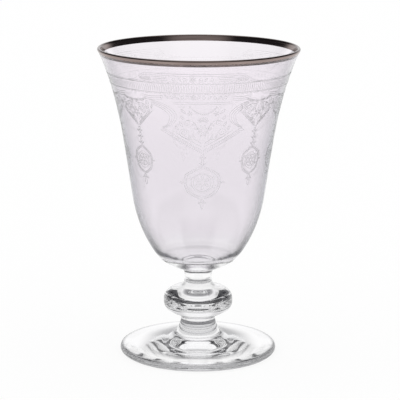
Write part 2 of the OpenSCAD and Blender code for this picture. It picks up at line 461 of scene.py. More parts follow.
class Pen:
    """Draws fine ribbons on a flat sheet: x across the wall, y up it and z out of it"""

    FINE_END = 0.45
    EYE_GAP = 1.25
    EYE_STEPS = 10
    BEAD_STEPS = 7
    FACING_DOWN = -0.5

    def __init__(self, width, relief):
        self.bm = bmesh.new()
        self.width = width
        self.relief = relief

    def stroke(self, path, weight=1.0):
        """A ribbon along a path; an open one thins towards its ends."""
        last = len(path) - 1
        closed = (path[0] - path[last]).length < SAME_POINT
        first_edge = edge = None
        for i, place in enumerate(path):
            before = path[i - 1] if i > 0 else path[last - 1 if closed else 0]
            after = path[i + 1] if i < last else path[1 if closed else last]
            full = 1.0 if closed else self.FINE_END + (1.0 - self.FINE_END) * math.sin(math.pi * i / last)
            half = (after - before).orthogonal().normalized() * self.width * weight * full / 2.0
            ends = (place + half, place - half)
            if edge is None:
                first_edge = edge = self.bm.edges.new([self.bm.verts.new((p.x, p.y, 0.0)) for p in ends])
            else:
                edge = self.draw_on(edge, ends)
        if closed:
            seam = list(first_edge.verts) + list(edge.verts)
            bmesh.ops.remove_doubles(self.bm, verts=seam, dist=SAME_POINT)

    def draw_on(self, edge, ends):
        """Extrudes the ribbon's last edge to two new ends and hands back the new edge."""
        left = edge.verts[0].co.copy()
        made = bmesh.ops.extrude_edge_only(self.bm, edges=[edge])["geom"]
        fresh = [item for item in made if isinstance(item, bmesh.types.BMVert)]
        if fresh[0].co != left:
            fresh.reverse()
        for vert, end in zip(fresh, ends):
            vert.co = (end.x, end.y, 0.0)
        return self.bm.edges.get(fresh)

    def both(self, path, weight=1.0):
        """A ribbon and its mirror image."""
        self.stroke(path, weight)
        self.stroke(mirrored(path), weight)

    def hatch(self, path, other):
        """Short ribbons from one path across to another, and their mirror images."""
        for a, b in zip(path, other):
            self.both([a, a.lerp(b, 0.5), b])

    def leaves(self, swell, *pairs):
        """Leaves from base to tip and their mirror images, in millimetres."""
        for base, tip in pairs:
            self.both(leaf(mm(*base), mm(*tip), swell * MM))

    def curl(self, centre, start_r, end_r, degrees, turns, count):
        """A scroll and its mirror image, with radii in millimetres."""
        self.both(coil(centre, start_r * MM, end_r * MM, math.radians(degrees), turns, count))

    def beads(self, path, radius):
        """Small rings strung along a path."""
        for place in path:
            self.stroke(loop(place, radius, radius, self.BEAD_STEPS))

    def rosette(self, centre, eye, reach, count, swell):
        """A ring with pointed petals around it."""
        self.stroke(loop(centre, eye, eye, self.EYE_STEPS))
        for i in range(count):
            way = ray(TURN * (i + 0.5) / count)
            self.stroke(leaf(centre + self.EYE_GAP * eye * way, centre + reach * way, swell))

    def sheet(self, name):
        """The drawing as a thin closed relief, ready to be laid on the wall many times."""
        bm = self.bm
        bm.normal_update()
        bmesh.ops.reverse_faces(bm, faces=[face for face in bm.faces if face.normal.z < 0.0])
        bmesh.ops.solidify(bm, geom=bm.faces[:], thickness=self.relief)
        bm.normal_update()
        for face in bm.faces:
            face.material_index = UNDERSIDE if face.normal.z < self.FACING_DOWN else 0
        return mesh_of(name, bm)


class Wall:
    """The outside of the bowl's flare, as a place and an outward direction at a height"""

    COUNT = 400

    def __init__(self, curve):
        shares = spread(0.0, 1.0, self.COUNT)
        self.places = [along(curve, t) for t in shares]
        self.outwards = [-normal(curve, t) for t in shares]
        self.heights = [place.y for place in self.places]

    def at(self, height):
        """Radius and height on the wall, and the way out of it."""
        i = min(max(bisect(self.heights, height), 1), self.COUNT)
        low, high = self.heights[i - 1], self.heights[i]
        t = (height - low) / (high - low)
        return self.places[i - 1].lerp(self.places[i], t), self.outwards[i - 1].lerp(self.outwards[i], t)

    def lay(self, bm, sheet, bearing, gap):
        """Adds a sheet to a bmesh, wrapped onto the wall about a bearing from the front."""
        known = len(bm.verts)
        bm.from_mesh(sheet)
        bm.verts.ensure_lookup_table()
        for vert in bm.verts[known:]:
            across, up, relief = vert.co
            place, outward = self.at(up)
            turn = bearing + across / place.x
            place = place + (gap + relief) * outward
            vert.co = (place.x * math.sin(turn), -place.x * math.cos(turn), place.y)

    def ring(self, height, width, relief, gap):
        """Profile of a fine ring around the wall."""
        corners = []
        for up, out in ((-0.5, gap), (-0.5, gap + relief), (0.5, gap + relief), (0.5, gap)):
            place, outward = self.at(height + up * width)
            corners.append(place + out * outward)
        return corners


def draw_medallion(pen, centre, across, up):
    """A shield-shaped medallion with a roped edge, and a rosette in it."""
    top = centre + Vector((across * 0.04, up))
    shoulder = centre + Vector((across * 0.82, up * 0.5))
    hip = centre + Vector((across * 0.72, -up * 0.58))
    bottom = centre + Vector((across * 0.04, -up))
    half = (bow(top, shoulder, up * 0.04, 10) + bow(shoulder, hip, across * 0.13, 10)[1:]
            + bow(hip, bottom, up * 0.06, 10)[1:])
    roped = about(half, centre, 0.86)
    inner = about(half, centre, 0.6)
    for path in (half, roped, inner):
        pen.both(path)
    pen.hatch(half, roped)
    pen.stroke(loop(centre, across * 0.44, across * 0.44, 24))
    pen.rosette(centre, across * 0.12, across * 0.38, 6, across * 0.06)
    for side in (0.5, -0.5):
        eye = centre + Vector((across * 0.58, up * side * 0.55))
        pen.both(coil(eye, across * 0.12, across * 0.03, 0.0, 1.3, 9))
    spike = centre + Vector((across * 0.92, 0.0))
    pen.both(leaf(spike, spike + Vector((across * 0.2, 0.0)), across * 0.04, 4))


def draw_chain(pen, top, bottom, count):
    """Oval links down the axis, with a pair of leaves at every second one."""
    pitch = (top - bottom) / count
    for i in range(count):
        centre = Vector((0.0, top - (i + 0.5) * pitch))
        pen.stroke(loop(centre, pitch * 0.36, pitch * 0.5, 9))
        if i % 2:
            pen.both(leaf(centre + mm(0.5, 0.0), centre + mm(1.7, 0.7), 0.25 * MM, 4))


def draw_drop(pen, top, bottom):
    """A ring and a pair of leaves above a hanging drop."""
    height = top - bottom
    ring = Vector((0.0, top - 0.16 * height))
    pen.stroke(loop(ring, 0.14 * height, 0.14 * height, 9))
    pen.both(leaf(ring + mm(0.4, -0.6), ring + mm(2.0, -1.2), 0.3 * MM, 4))
    pen.stroke(leaf(Vector((0.0, top - 0.36 * height)), Vector((0.0, bottom)), 0.13 * height, 6))


def draw_large_pendant(pen):
    """A broad lappet of scrolls, with a medallion and a drop hanging from its tip."""
    for inset in (0.0, 1.15, 2.3, 3.45):
        waist = mm(12.2 + inset, 122.8)
        shoulder = (mm(25.6, 130.2 - inset * 0.55), mm(18.4 + inset, 129.6 - inset * 0.4),
                    waist + mm(0.0, 3.4 - inset * 0.5), waist)
        skirt = (waist, waist + mm(0.0, -2.6), mm(15.4 + inset * 0.4, 117.9),
                 mm(19.3, 116.8 + inset * 0.25))
        pen.both(points(shoulder, 14))
        pen.both(points(skirt, 12))
    pen.both(leaf(mm(17.0, 116.2), mm(20.4, 115.9), 0.5 * MM, 6))
    edge = line(mm(17.9, 114.9), mm(0.4, 105.3), 20)
    inner = line(mm(16.4, 115.7), mm(0.4, 106.9), 20)
    innermost = line(mm(14.2, 116.0), mm(0.4, 108.4), 16)
    for path in (edge, inner, innermost):
        pen.both(path)
    pen.hatch(edge, inner)
    pen.both(points((mm(0.6, 109.8), mm(3.0, 113.8), mm(9.0, 110.2), mm(10.9, 115.1)), 14))
    pen.curl(mm(8.9, 115.3), 2.0, 0.4, -8.0, 1.6, 18)
    pen.both(points((mm(0.8, 112.6), mm(2.2, 118.2), mm(5.0, 123.2), mm(8.9, 120.6)), 14))
    pen.curl(mm(7.3, 120.2), 1.65, 0.35, 14.0, -1.6, 16)
    pen.leaves(0.45, ((3.6, 112.0), (4.6, 114.4)), ((6.0, 112.2), (6.4, 114.1)),
               ((11.4, 116.4), (12.9, 118.4)), ((2.2, 117.2), (4.4, 117.4)), ((3.4, 119.8), (5.2, 118.6)),
               ((9.2, 121.6), (10.6, 123.4)), ((9.4, 118.2), (11.2, 120.6)), ((8.0, 124.4), (10.4, 126.6)))
    pen.rosette(mm(0.0, 116.4), eye=0.9 * MM, reach=3.0 * MM, count=8, swell=0.4 * MM)
    for across in (6.1, -6.1):
        pen.rosette(mm(across, 124.6), eye=0.4 * MM, reach=1.3 * MM, count=5, swell=0.25 * MM)
    for lean in (-1.1, -0.72, -0.36, 0.0, 0.36, 0.72, 1.1):
        base = mm(0.0, 120.0) + 0.8 * MM * heading(lean)
        pen.stroke(leaf(base, base + 2.2 * MM * heading(lean), 0.35 * MM))
    pen.beads(bow(mm(-6.2, 127.6), mm(6.2, 127.6), -3.4 * MM, 14), 0.4 * MM)
    for height in (129.8, 129.0):
        pen.stroke(line(mm(-14.0, height), mm(14.0, height), 30), 1.2)
    draw_chain(pen, top=105.0 * MM, bottom=99.2 * MM, count=4)
    draw_medallion(pen, mm(0.0, 91.0), across=9.6 * MM, up=8.1 * MM)
    draw_drop(pen, top=82.8 * MM, bottom=77.9 * MM)


def draw_small_pendant(pen):
    """A narrow lappet, with a small medallion and a drop hanging from its tip."""
    edges = [line(mm(9.8 - inset, 124.6 - inset * 0.1), mm(0.5, 116.8 + inset * 0.8), 12)
             for inset in (0.0, 1.0, 2.0)]
    for path in edges:
        pen.both(path)
    pen.hatch(*edges[:2])
    pen.both(bow(mm(11.2, 129.0), mm(10.2, 124.8), -0.9 * MM, 8))
    pen.both(points((mm(0.6, 119.6), mm(2.6, 122.4), mm(5.0, 120.0), mm(6.4, 123.8)), 12))
    pen.curl(mm(5.1, 124.2), 1.35, 0.3, -10.0, 1.5, 14)
    pen.leaves(0.42, ((2.4, 121.2), (3.2, 123.0)), ((6.8, 125.4), (8.6, 127.4)), ((1.6, 125.2), (3.6, 126.2)))
    pen.rosette(mm(0.0, 123.6), eye=0.75 * MM, reach=2.2 * MM, count=6, swell=0.4 * MM)
    pen.both(points((mm(0.4, 127.2), mm(2.8, 129.0), mm(6.0, 128.4), mm(8.4, 125.6)), 12))
    pen.curl(mm(2.6, 127.0), 1.1, 0.25, 20.0, 1.6, 14)
    pen.curl(mm(8.0, 128.6), 1.2, 0.25, 200.0, -1.6, 14)
    pen.curl(mm(3.3, 120.6), 0.9, 0.2, 90.0, 1.5, 12)
    pen.leaves(0.38, ((4.2, 126.4), (5.6, 127.8)), ((5.2, 125.9), (6.9, 126.4)), ((3.0, 124.4), (4.0, 125.6)),
               ((7.2, 124.2), (8.6, 125.2)), ((0.9, 128.2), (2.2, 129.8)), ((4.4, 129.4), (6.2, 130.2)),
               ((9.4, 126.2), (10.6, 127.6)), ((1.2, 118.4), (2.2, 119.6)))
    pen.beads(bow(mm(-7.4, 130.6), mm(7.4, 130.6), -1.2 * MM, 12), 0.42 * MM)
    draw_chain(pen, top=116.3 * MM, bottom=107.5 * MM, count=6)
    draw_medallion(pen, mm(0.0, 100.4), across=6.3 * MM, up=6.9 * MM)
    draw_drop(pen, top=93.4 * MM, bottom=88.0 * MM)


def draw_crest(pen):
    """A raised panel above the reeds, with swept corners."""
    for inset, weight in ((0.0, 1.7), (0.9, 1.0)):
        top = 143.5 - inset
        corner = (mm(21.9, top), mm(25.4, top), mm(25.6, top - 1.5), mm(28.0 - inset, top - 2.6))
        pen.stroke(line(mm(-21.5, top), mm(21.5, top), 34), weight)
        pen.both(points(corner, 12))
        pen.both(bow(mm(28.2 - inset, top - 2.7), mm(34.0, 139.4 - 0.3 * inset), -0.6 * MM, 8))
    for across, height in ((12.4, 141.8), (12.0, 141.0), (11.6, 140.2)):
        pen.both(line(mm(across, height), mm(across + 7.6, height), 8))
    for i in range(5):
        base = mm(20.2 + 1.2 * i, 139.8)
        pen.both(leaf(base, base + mm(1.4, 2.1 - 0.2 * i), 0.35 * MM))
    pen.rosette(mm(0.0, 141.0), eye=0.5 * MM, reach=1.6 * MM, count=6, swell=0.3 * MM)
    pen.curl(mm(3.6, 140.9), 1.2, 0.3, 180.0, 1.5, 14)
    pen.leaves(0.4, ((5.4, 140.1), (6.8, 141.8)))
    pen.curl(mm(8.8, 140.9), 1.1, 0.3, 180.0, 1.5, 14)
    for i in range(7):
        place = mm(2.5 * i, 132.2)
        if i % 2:
            pen.both(leaf(place + mm(-0.9, -0.7), place + mm(0.9, 0.9), 0.4 * MM))
        elif i:
            pen.both(loop(place, 0.7 * MM, 0.7 * MM, 9))
    pen.rosette(mm(0.0, 132.2), eye=0.45 * MM, reach=1.4 * MM, count=6, swell=0.25 * MM)


def draw_swag(pen):
    """Three slack lines between two pendants."""
    for drop in (0.0, 0.9, 1.8):
        pen.stroke(bow(mm(-5.4, 132.8 - drop), mm(5.4, 132.8 - drop), -0.6 * MM, 12))


def draw_reed(pen):
    """One reed of the reeded band."""
    reed = (mm(-0.1, REED_LOW + 0.3), mm(0.4, REED_LOW + 1.4),
            mm(0.4, REED_HIGH - 1.4), mm(-0.1, REED_HIGH - 0.3))
    pen.stroke(points(reed, 5))


def draw_scallop(pen):
    """One scallop along either edge of the reeded band."""
    for side, height in ((0.85, REED_HIGH + 0.2), (-0.85, REED_LOW - 0.2)):
        pen.stroke(bow(mm(-side, height), mm(side, height), 0.5 * MM, 4))


# Materials

WHOLE = (0.0, 1.0)


def fill(tree, made, inputs):
    """Gives a node's inputs values, or the outputs of other nodes."""
    for name, value in inputs.items():
        if isinstance(value, bpy.types.NodeSocket):
            tree.links.new(value, made.inputs[name])
        else:
            made.inputs[name].default_value = value


def add_node(tree, kind, inputs=None, **settings):
    """A new shader node with its settings and inputs."""
    made = tree.nodes.new("ShaderNode" + kind)
    for name, value in settings.items():
        setattr(made, name, value)
    fill(tree, made, inputs or {})
    return made


def coordinates(tree, kind="Object"):
    """The place of a point, and its parts along X, Y and Z."""
    place = add_node(tree, "TexCoord").outputs[kind]
    return place, add_node(tree, "SeparateXYZ", {"Vector": place}).outputs


def fade(tree, source, ends, levels=WHOLE, even=False):
    """Goes from the first level at the first end to the second at the second, softly or evenly."""
    inputs = dict(zip(("Value", "From Min", "From Max", "To Min", "To Max"), (source, *ends, *levels)))
    kind = "LINEAR" if even else "SMOOTHSTEP"
    return add_node(tree, "MapRange", inputs, interpolation_type=kind).outputs["Result"]


def maths(tree, operation, *values, clamp=False):
    """One value from others."""
    made = add_node(tree, "Math", dict(enumerate(values)), operation=operation, use_clamp=clamp)
    return made.outputs["Value"]


def stripe(tree, source, rise, fall, levels=WHOLE):
    """Rises over one pair of ends and falls away over another."""
    return maths(tree, "MULTIPLY", fade(tree, source, rise, levels), fade(tree, source, fall))


def vector_maths(tree, operation, *values):
    """The outputs of a sum with vectors."""
    return add_node(tree, "VectorMath", dict(enumerate(values)), operation=operation).outputs


def mixed(tree, factor, first, second):
    """A colour between two."""
    inputs = {"Factor": factor, "A": first, "B": second}
    return add_node(tree, "Mix", inputs, data_type="RGBA").outputs["Result"]


def drawn_out(tree, place, scale):
    """A place scaled along the axes."""
    return add_node(tree, "Mapping", {"Vector": place, "Scale": scale}).outputs["Vector"]


def noise(tree, place, scale, detail):
    """Soft noise from 0 to 1."""
    return add_node(tree, "TexNoise", {"Vector": place, "Scale": scale, "Detail": detail}).outputs["Fac"]


def new_material(name):
    """A material with its node tree and its Principled shader."""
    material = bpy.data.materials.new(name)
    material.use_nodes = True
    return material, material.node_tree, material.node_tree.nodes["Principled BSDF"]


Ripple = namedtuple("Ripple", "scale stretch strength")

BLOWN = Ripple(18.0, (1.0, 1.0, 0.5), 0.03)
PRESSED = Ripple(45.0, (1.0, 1.0, 1.0), 0.006)
SPUN = Ripple(30.0, (1.0, 1.0, 1.0), 0.006)
RIPPLE_DETAIL = 1.0


def ripple_group():
    """Slow unevenness of hand-worked glass, as a normal."""
    name = "glass_ripple"
    if name in bpy.data.node_groups:
        return bpy.data.node_groups[name]
    group = bpy.data.node_groups.new(name, "ShaderNodeTree")
    for socket, kind in (("Scale", "Float"), ("Stretch", "Vector"), ("Strength", "Float")):
        group.interface.new_socket(socket, in_out="INPUT", socket_type="NodeSocket" + kind)
    group.interface.new_socket("Normal", in_out="OUTPUT", socket_type="NodeSocketVector")
    taken = group.nodes.new("NodeGroupInput").outputs
    place, _ = coordinates(group)
    height = noise(group, drawn_out(group, place, taken["Stretch"]), taken["Scale"], RIPPLE_DETAIL)
    bump = add_node(group, "Bump", {"Height": height, "Strength": taken["Strength"], "Distance": MM})
    fill(group, group.nodes.new("NodeGroupOutput"), {"Normal": bump.outputs["Normal"]})
    return group


GLASS_IOR = 1.51


def glass_material(name, tint, ripple):
    """Polished clear glass with the slow ripple of its making."""
    material, tree, shader = new_material(name)
    inputs = {"Scale": ripple.scale, "Stretch": ripple.stretch, "Strength": ripple.strength}
    uneven = add_node(tree, "Group", inputs, node_tree=ripple_group())
    fill(tree, shader, {"Base Color": tint, "Roughness": 0.0, "IOR": GLASS_IOR, "Transmission Weight": 1.0,
                        "Normal": uneven.outputs["Normal"]})
    return material


# How far a wall turns from the eye before its painted edge shade begins and is full, and full at the heel
EDGE_ON = (0.3, 0.8)
HEEL_EDGE_ON = 0.5


def wall_tint(material, stops):
    """Lets the tint follow the height, partly as painted shade, and deepen to a painted dark edge where light
    enters a wall that is seen edge on.
    """
    tree = material.node_tree
    low, high = stops[0][0], stops[-1][0]
    height = coordinates(tree)[1]["Z"]
    climb = fade(tree, height, (low, high), even=True)
    tints = []
    for side in (1, 2):
        ramp = add_node(tree, "ValToRGB", {"Fac": climb})
        steps = ramp.color_ramp.elements
        for _ in stops[2:]:
            steps.new(1.0)
        for step, stop in zip(steps, stops):
            step.position = (stop[0] - low) / (high - low)
            step.color = stop[side]
        tints.append(ramp.outputs["Color"])
    full = fade(tree, height, (stops[2][0], stops[1][0]), (EDGE_ON[1], HEEL_EDGE_ON))
    facing = add_node(tree, "LayerWeight").outputs["Facing"]
    leaving = add_node(tree, "NewGeometry").outputs["Backfacing"]
    edge_shade_share = maths(tree, "SUBTRACT", fade(tree, facing, (EDGE_ON[0], full)), leaving)
    fill(tree, tree.nodes["Principled BSDF"], {"Base Color": mixed(tree, edge_shade_share, *tints)})


LEVEL_PART = (1.0, 1.0, 0.0)


def paint_edge_shade(material, tint, edge, ends):
    """Paints shade on a round edge: deepens the tint towards it, by the distance from the axis."""
    tree = material.node_tree
    level = vector_maths(tree, "MULTIPLY", coordinates(tree)[0], LEVEL_PART)["Vector"]
    away = vector_maths(tree, "LENGTH", level)["Value"]
    fill(tree, tree.nodes["Principled BSDF"], {"Base Color": mixed(tree, fade(tree, away, ends), tint, edge)})


def weld_material():
    """Where two pieces of glass are fused there is glass on both sides, so light passes unbent."""
    name = "fused_glass"
    if name in bpy.data.materials:
        return bpy.data.materials[name]
    material, tree, shader = new_material(name)
    fill(tree, shader, {"Alpha": 0.0})
    return material


# Brush streaks are fine up the band and long around it
STREAKS_DRAWN = (1.0, 1.0, 30.0)
STREAKS_SCALE = 60.0
STREAKS_DETAIL = 3.0
LIP_ROUGHNESS = (0.08, 0.22)


def lip_material(colours, crest):
    """Silver-coloured film, brushed on around the lip and fired, with a painted highlight in streaks below
    the crest.
    """
    material, tree, shader = new_material("lip_lustre")
    place, parts = coordinates(tree)
    streaks = noise(tree, drawn_out(tree, place, STREAKS_DRAWN), STREAKS_SCALE, STREAKS_DETAIL)
    # Painted highlight: lighter streaks below the crest
    thin = maths(tree, "MULTIPLY", streaks, fade(tree, parts["Z"], crest))
    fill(tree, shader, {"Base Color": mixed(tree, thin, colours.lip_dark, colours.lip_highlight),
                        "Roughness": fade(tree, streaks, WHOLE, LIP_ROUGHNESS, even=True), "Metallic": 1.0})
    return material


# How far etched lines turn from the eye before their painted shade begins and is full
FROST_EDGE_ON = (0.0, 0.6)
FROST_ROUGHNESS = (0.22, 0.46)
GRAIN_SCALE = 900.0
GRAIN_DETAIL = 2.0


def frost_material(name, colours, seen):
    """Etched lines, roughened by acid and a little uneven, with a painted shade where they are seen edge on;
    how much is seen from the front and the back.
    """
    material, tree, shader = new_material(name)
    grain = noise(tree, coordinates(tree)[0], GRAIN_SCALE, GRAIN_DETAIL)
    facing = add_node(tree, "LayerWeight").outputs["Facing"]
    behind = add_node(tree, "NewGeometry").outputs["Backfacing"]
    tint = mixed(tree, fade(tree, facing, FROST_EDGE_ON), colours.etch_tint, colours.etch_edge_shade)
    fill(tree, shader, {"Base Color": tint, "IOR": GLASS_IOR, "Transmission Weight": 1.0,
                        "Roughness": fade(tree, grain, WHOLE, FROST_ROUGHNESS, even=True),
                        "Alpha": fade(tree, behind, WHOLE, seen, even=True)})
    return material


# Where glass sees a painted shadow and painted dark reflections on the floor around the foot, by distance
# from the axis and by bearing from straight behind
EYE_SHARE = 0.88
UNDER = (0.03, 0.016)
SHADE_OUTSIDE = (0.15, 0.08)
SHADE_INSIDE = (0.035, 0.05)
SHADE_FROM = (math.radians(20.0), math.radians(30.0))
SHADE_TO = (math.radians(60.0), math.radians(48.0))
SHADE_FRONT = (math.radians(140.0), math.radians(155.0))
LOBE_LEVELS = (0.0, 0.45)
FRONT_LEVELS = (0.1, 1.0)


def floor_material(stage):
    """White floor, plain white to the eye, and to glass shaded around the foot."""
    material, tree, shader = new_material("floor_white")
    fill(tree, shader, {"Base Color": stage.white, "Roughness": 1.0, "Specular IOR Level": 0.0})
    place, parts = coordinates(tree)
    away = vector_maths(tree, "LENGTH", place)["Value"]
    bearing = maths(tree, "ARCTAN2", maths(tree, "ABSOLUTE", parts["X"]), parts["Y"])
    around = stripe(tree, away, SHADE_OUTSIDE, SHADE_INSIDE)
    lobe = stripe(tree, bearing, SHADE_FROM, SHADE_TO, LOBE_LEVELS)
    front = fade(tree, bearing, SHADE_FRONT, FRONT_LEVELS)
    shaded = maths(tree, "MULTIPLY", around, maths(tree, "MAXIMUM", lobe, front))
    path = add_node(tree, "LightPath").outputs
    eye = path["Is Camera Ray"]
    under = mixed(tree, maths(tree, "SUBTRACT", fade(tree, away, UNDER), eye), stage.white, stage.under)
    tone = mixed(tree, maths(tree, "SUBTRACT", shaded, eye), under, stage.shade)
    glow = add_node(tree, "Emission", {"Color": tone}).outputs["Emission"]
    seen = maths(tree, "MULTIPLY_ADD", eye, EYE_SHARE, path["Is Glossy Ray"])
    shown = maths(tree, "ADD", seen, path["Is Transmission Ray"], clamp=True)
    mix = add_node(tree, "MixShader", {"Fac": shown, 1: shader.outputs["BSDF"], 2: glow})
    fill(tree, tree.nodes["Material Output"], {"Surface": mix.outputs["Shader"]})
    return material


# Operators

class GOBLET_OT_stage(bpy.types.Operator):
    """Sets the white floor, the background, the light and the camera"""

    bl_idname = "goblet.stage"
    bl_label = "Stage"

    FLOOR_STEPS = 96
    SENSOR_W = 36.0
    # Ends of the fades across the sky, as parts of a direction of length 1
    LOW = (0.27, 0.16)
    SEAM_LOW = (0.34, 0.42)
    SEAM_HIGH = (0.6, 0.53)
    BEHIND_ASIDE = (0.62, 0.2)
    BEHIND_BACK = (0.0, 0.4)
    OVERHEAD = (0.78, 0.92)
    FRONT_WAY = (0.0, -0.8, 0.6)
    BEFORE = (0.75, 0.97)

    def execute(self, context):
        stage = context.scene.goblet_stage
        self.floor(context, stage)
        self.background(context, stage)
        self.camera(context, stage)
        self.light_paths(context.scene.cycles)
        context.scene.view_settings.view_transform = "Standard"
        return {"FINISHED"}

    @staticmethod
    def light_paths(cycles):
        """Enough bounces for light to find its way out of thick glass."""
        cycles.max_bounces = 32
        cycles.glossy_bounces = 24
        cycles.transmission_bounces = 32
        cycles.transparent_max_bounces = 64

    def floor(self, context, stage):
        """A wide disc just under the foot."""
        bm = bmesh.new()
        bmesh.ops.create_circle(bm, cap_ends=True, segments=self.FLOOR_STEPS, radius=stage.floor_r)
        bmesh.ops.translate(bm, verts=bm.verts[:], vec=(0.0, 0.0, -stage.floor_drop))
        mesh = mesh_of("floor", bm)
        mesh.materials.append(floor_material(stage))
        floor = bpy.data.objects.new("floor", mesh)
        context.scene.collection.objects.link(floor)

    def background(self, context, stage):
        """White to the eye; glass and metal see light all round but half way up at the sides and in front."""
        world = bpy.data.worlds.new("studio")
        context.scene.world = world
        world.use_nodes = True
        tree = world.node_tree
        way, parts = coordinates(tree, "Generated")
        aside = maths(tree, "ABSOLUTE", parts["X"])
        behind = maths(tree, "MULTIPLY", fade(tree, aside, self.BEHIND_ASIDE),
                       fade(tree, parts["Y"], self.BEHIND_BACK))
        seam = stripe(tree, parts["Z"], self.SEAM_LOW, self.SEAM_HIGH, (0.0, stage.seam))
        share = maths(tree, "SUBTRACT", behind, seam)
        front = vector_maths(tree, "DOT_PRODUCT", way, self.FRONT_WAY)["Value"]
        above = fade(tree, parts["Z"], self.OVERHEAD)
        low = fade(tree, parts["Z"], self.LOW, (0.0, stage.low))
        for other in (above, low, fade(tree, front, self.BEFORE, (0.0, stage.before))):
            share = maths(tree, "MAXIMUM", share, other)
        sky = mixed(tree, share, stage.dusk, stage.panel)
        path = add_node(tree, "LightPath").outputs
        plain = maths(tree, "MAXIMUM", path["Is Camera Ray"], path["Is Diffuse Ray"])
        fill(tree, tree.nodes["Background"], {"Color": mixed(tree, plain, sky, stage.white), "Strength": 1.0})

    def camera(self, context, stage):
        """The photograph's view: a long lens, a little above the lip."""
        data = bpy.data.cameras.new("camera")
        data.lens = stage.lens
        data.sensor_width = self.SENSOR_W
        camera = bpy.data.objects.new("camera", data)
        context.scene.collection.objects.link(camera)
        camera.location = (0.0, -stage.camera_back, stage.camera_up)
        aim = Vector((stage.aim_right, 0.0, stage.aim_up)) - camera.location
        turn = aim.to_track_quat("-Z", "Y") @ Quaternion((0.0, 0.0, 1.0), stage.roll)
        camera.rotation_euler = turn.to_euler()
        context.scene.camera = camera


class GOBLET_OT_bowl(bpy.types.Operator):
    """Blows the bowl: a bell whose wall thins towards the lip, on a solid base with a nub"""

    bl_idname = "goblet.bowl"
    bl_label = "Bowl"

    INSIDE = 2
    HEEL_SHARE = 0.06
    LOWER_SHARE = 0.22
    FLARE_SHARE = 0.4

    def execute(self, context):
        sizes = context.scene.goblet_sizes
        colours = context.scene.goblet_colours
        bowl = BowlOutline(sizes)
        inner = outline([bowl.floor, bowl.corner, bowl.inner_heel, bowl.inner_body], sizes.steps)
        profile = (
            [Vector((0.0, sizes.bowl_weld_z))]
            + outline([bowl.weld, bowl.nub, bowl.heel, bowl.body], sizes.steps)
            + points(bowl.flare, 2 * sizes.steps, 0.0, bowl.band_share)
            + bowl.over_lip(0.0)
            + points(bowl.inner_flare, 2 * sizes.steps, bowl.inner_band_share, 0.0)
            + inner[::-1])
        bm = smoothed(turned(profile, sizes.around), [sizes.bowl_weld_z])
        for face in bm.faces:
            if face.normal.z > 0.0:
                face.material_index = self.INSIDE
        lower = stretch(bowl.heel, bowl.body)
        # Tints by height, partly painted shade, each with the painted shade it takes where the wall is seen
        # edge on
        stops = [(bowl.heel.place.y, colours.stem_tint, colours.stem_tint),
                 (along(lower, self.HEEL_SHARE).y, colours.heel_tint, colours.heel_edge_shade),
                 (along(lower, self.LOWER_SHARE).y, colours.lower_tint, colours.lower_edge_shade),
                 (bowl.body.place.y, colours.bowl_tint, colours.bowl_edge_shade),
                 (along(bowl.flare, self.FLARE_SHARE).y, colours.flare_tint, colours.flare_edge_shade),
                 (sizes.lip_z, colours.lip_tint, colours.lip_edge_shade)]
        outside = glass_material("blown_glass", colours.bowl_tint, BLOWN)
        wall_tint(outside, stops)
        inside_stops = [(height, tint, tint) for height, tint, _ in stops]
        # The inner floor takes the darker tint, a painted shade in the bottom of the bowl.
        inside_stops[0] = (bowl.heel.place.y, colours.inner_floor_shade, colours.inner_floor_shade)
        inside_glass = glass_material("blown_glass_inside", colours.bowl_tint, BLOWN)
        wall_tint(inside_glass, inside_stops)
        new_piece("goblet_bowl", bm, [outside, weld_material(), inside_glass], "bowl")
        return {"FINISHED"}


class GOBLET_OT_stem(bpy.types.Operator):
    """Presses the stem: a flattened ball between two coved necks, with two mould seams"""

    bl_idname = "goblet.stem"
    bl_label = "Stem"

    def execute(self, context):
        sizes = context.scene.goblet_sizes
        base_z = sizes.foot_h
        knop_low = base_z + sizes.lower_neck_h
        knop_high = knop_low + sizes.knop_h
        low, high = -sizes.knop_lower_angle, sizes.knop_upper_angle
        base = station(sizes.foot_weld_d, base_z, -sizes.foot_weld_lean)
        lower = station(sizes.lower_neck_d, knop_low - sizes.lower_waist_gap, UPRIGHT)
        upper = station(sizes.upper_neck_d, knop_high + sizes.upper_waist_gap, UPRIGHT)
        turns = spread(low, high, 3 * sizes.steps)
        profile = (
            [Vector((0.0, base_z))]
            + outline([base, lower, self.on_knop(sizes, low)], sizes.steps)
            + [self.on_knop(sizes, turn).place for turn in turns]
            + outline([self.on_knop(sizes, high), upper, BowlOutline(sizes).weld], sizes.steps)
            + [Vector((0.0, sizes.bowl_weld_z))])
        bm = smoothed(turned(profile, sizes.around), [base_z, sizes.bowl_weld_z])
        self.raise_seams(bm, sizes)
        pressed = glass_material("pressed_glass", context.scene.goblet_colours.stem_tint, PRESSED)
        new_piece("goblet_stem", bm, [pressed, weld_material()], "stem")
        return {"FINISHED"}

    @staticmethod
    def on_knop(sizes, turn):
        """Station on the knop, an oval filled out at the shoulders, at an angle up from its middle."""
        middle = sizes.foot_h + sizes.lower_neck_h + sizes.knop_h / 2.0
        side = math.copysign(1.0, turn)
        power = 2.0 / sizes.knop_fullness
        across = math.cos(turn) ** power
        up = side * abs(math.sin(turn)) ** power
        lean = -side * math.atan(sizes.knop_d / sizes.knop_h * abs(math.tan(turn)) ** (2.0 - power))
        return station(sizes.knop_d * across, middle + sizes.knop_h / 2.0 * up, lean)

    @staticmethod
    def raise_seams(bm, sizes):
        """Lifts two fine ridges where the halves of the mould met."""
        first = sizes.seam_bearing - LEVEL
        for vert in bm.verts:
            radius = math.hypot(vert.co.x, vert.co.y)
            across = radius * math.sin(math.atan2(vert.co.y, vert.co.x) - first)
            side = math.cos(math.pi * min(1.0, abs(across) / sizes.seam_w))
            lift = sizes.seam_h * (0.5 + 0.5 * side)
            if radius > sizes.upper_neck_d / 4.0:
                vert.co.x *= 1.0 + lift / radius
                vert.co.y *= 1.0 + lift / radius


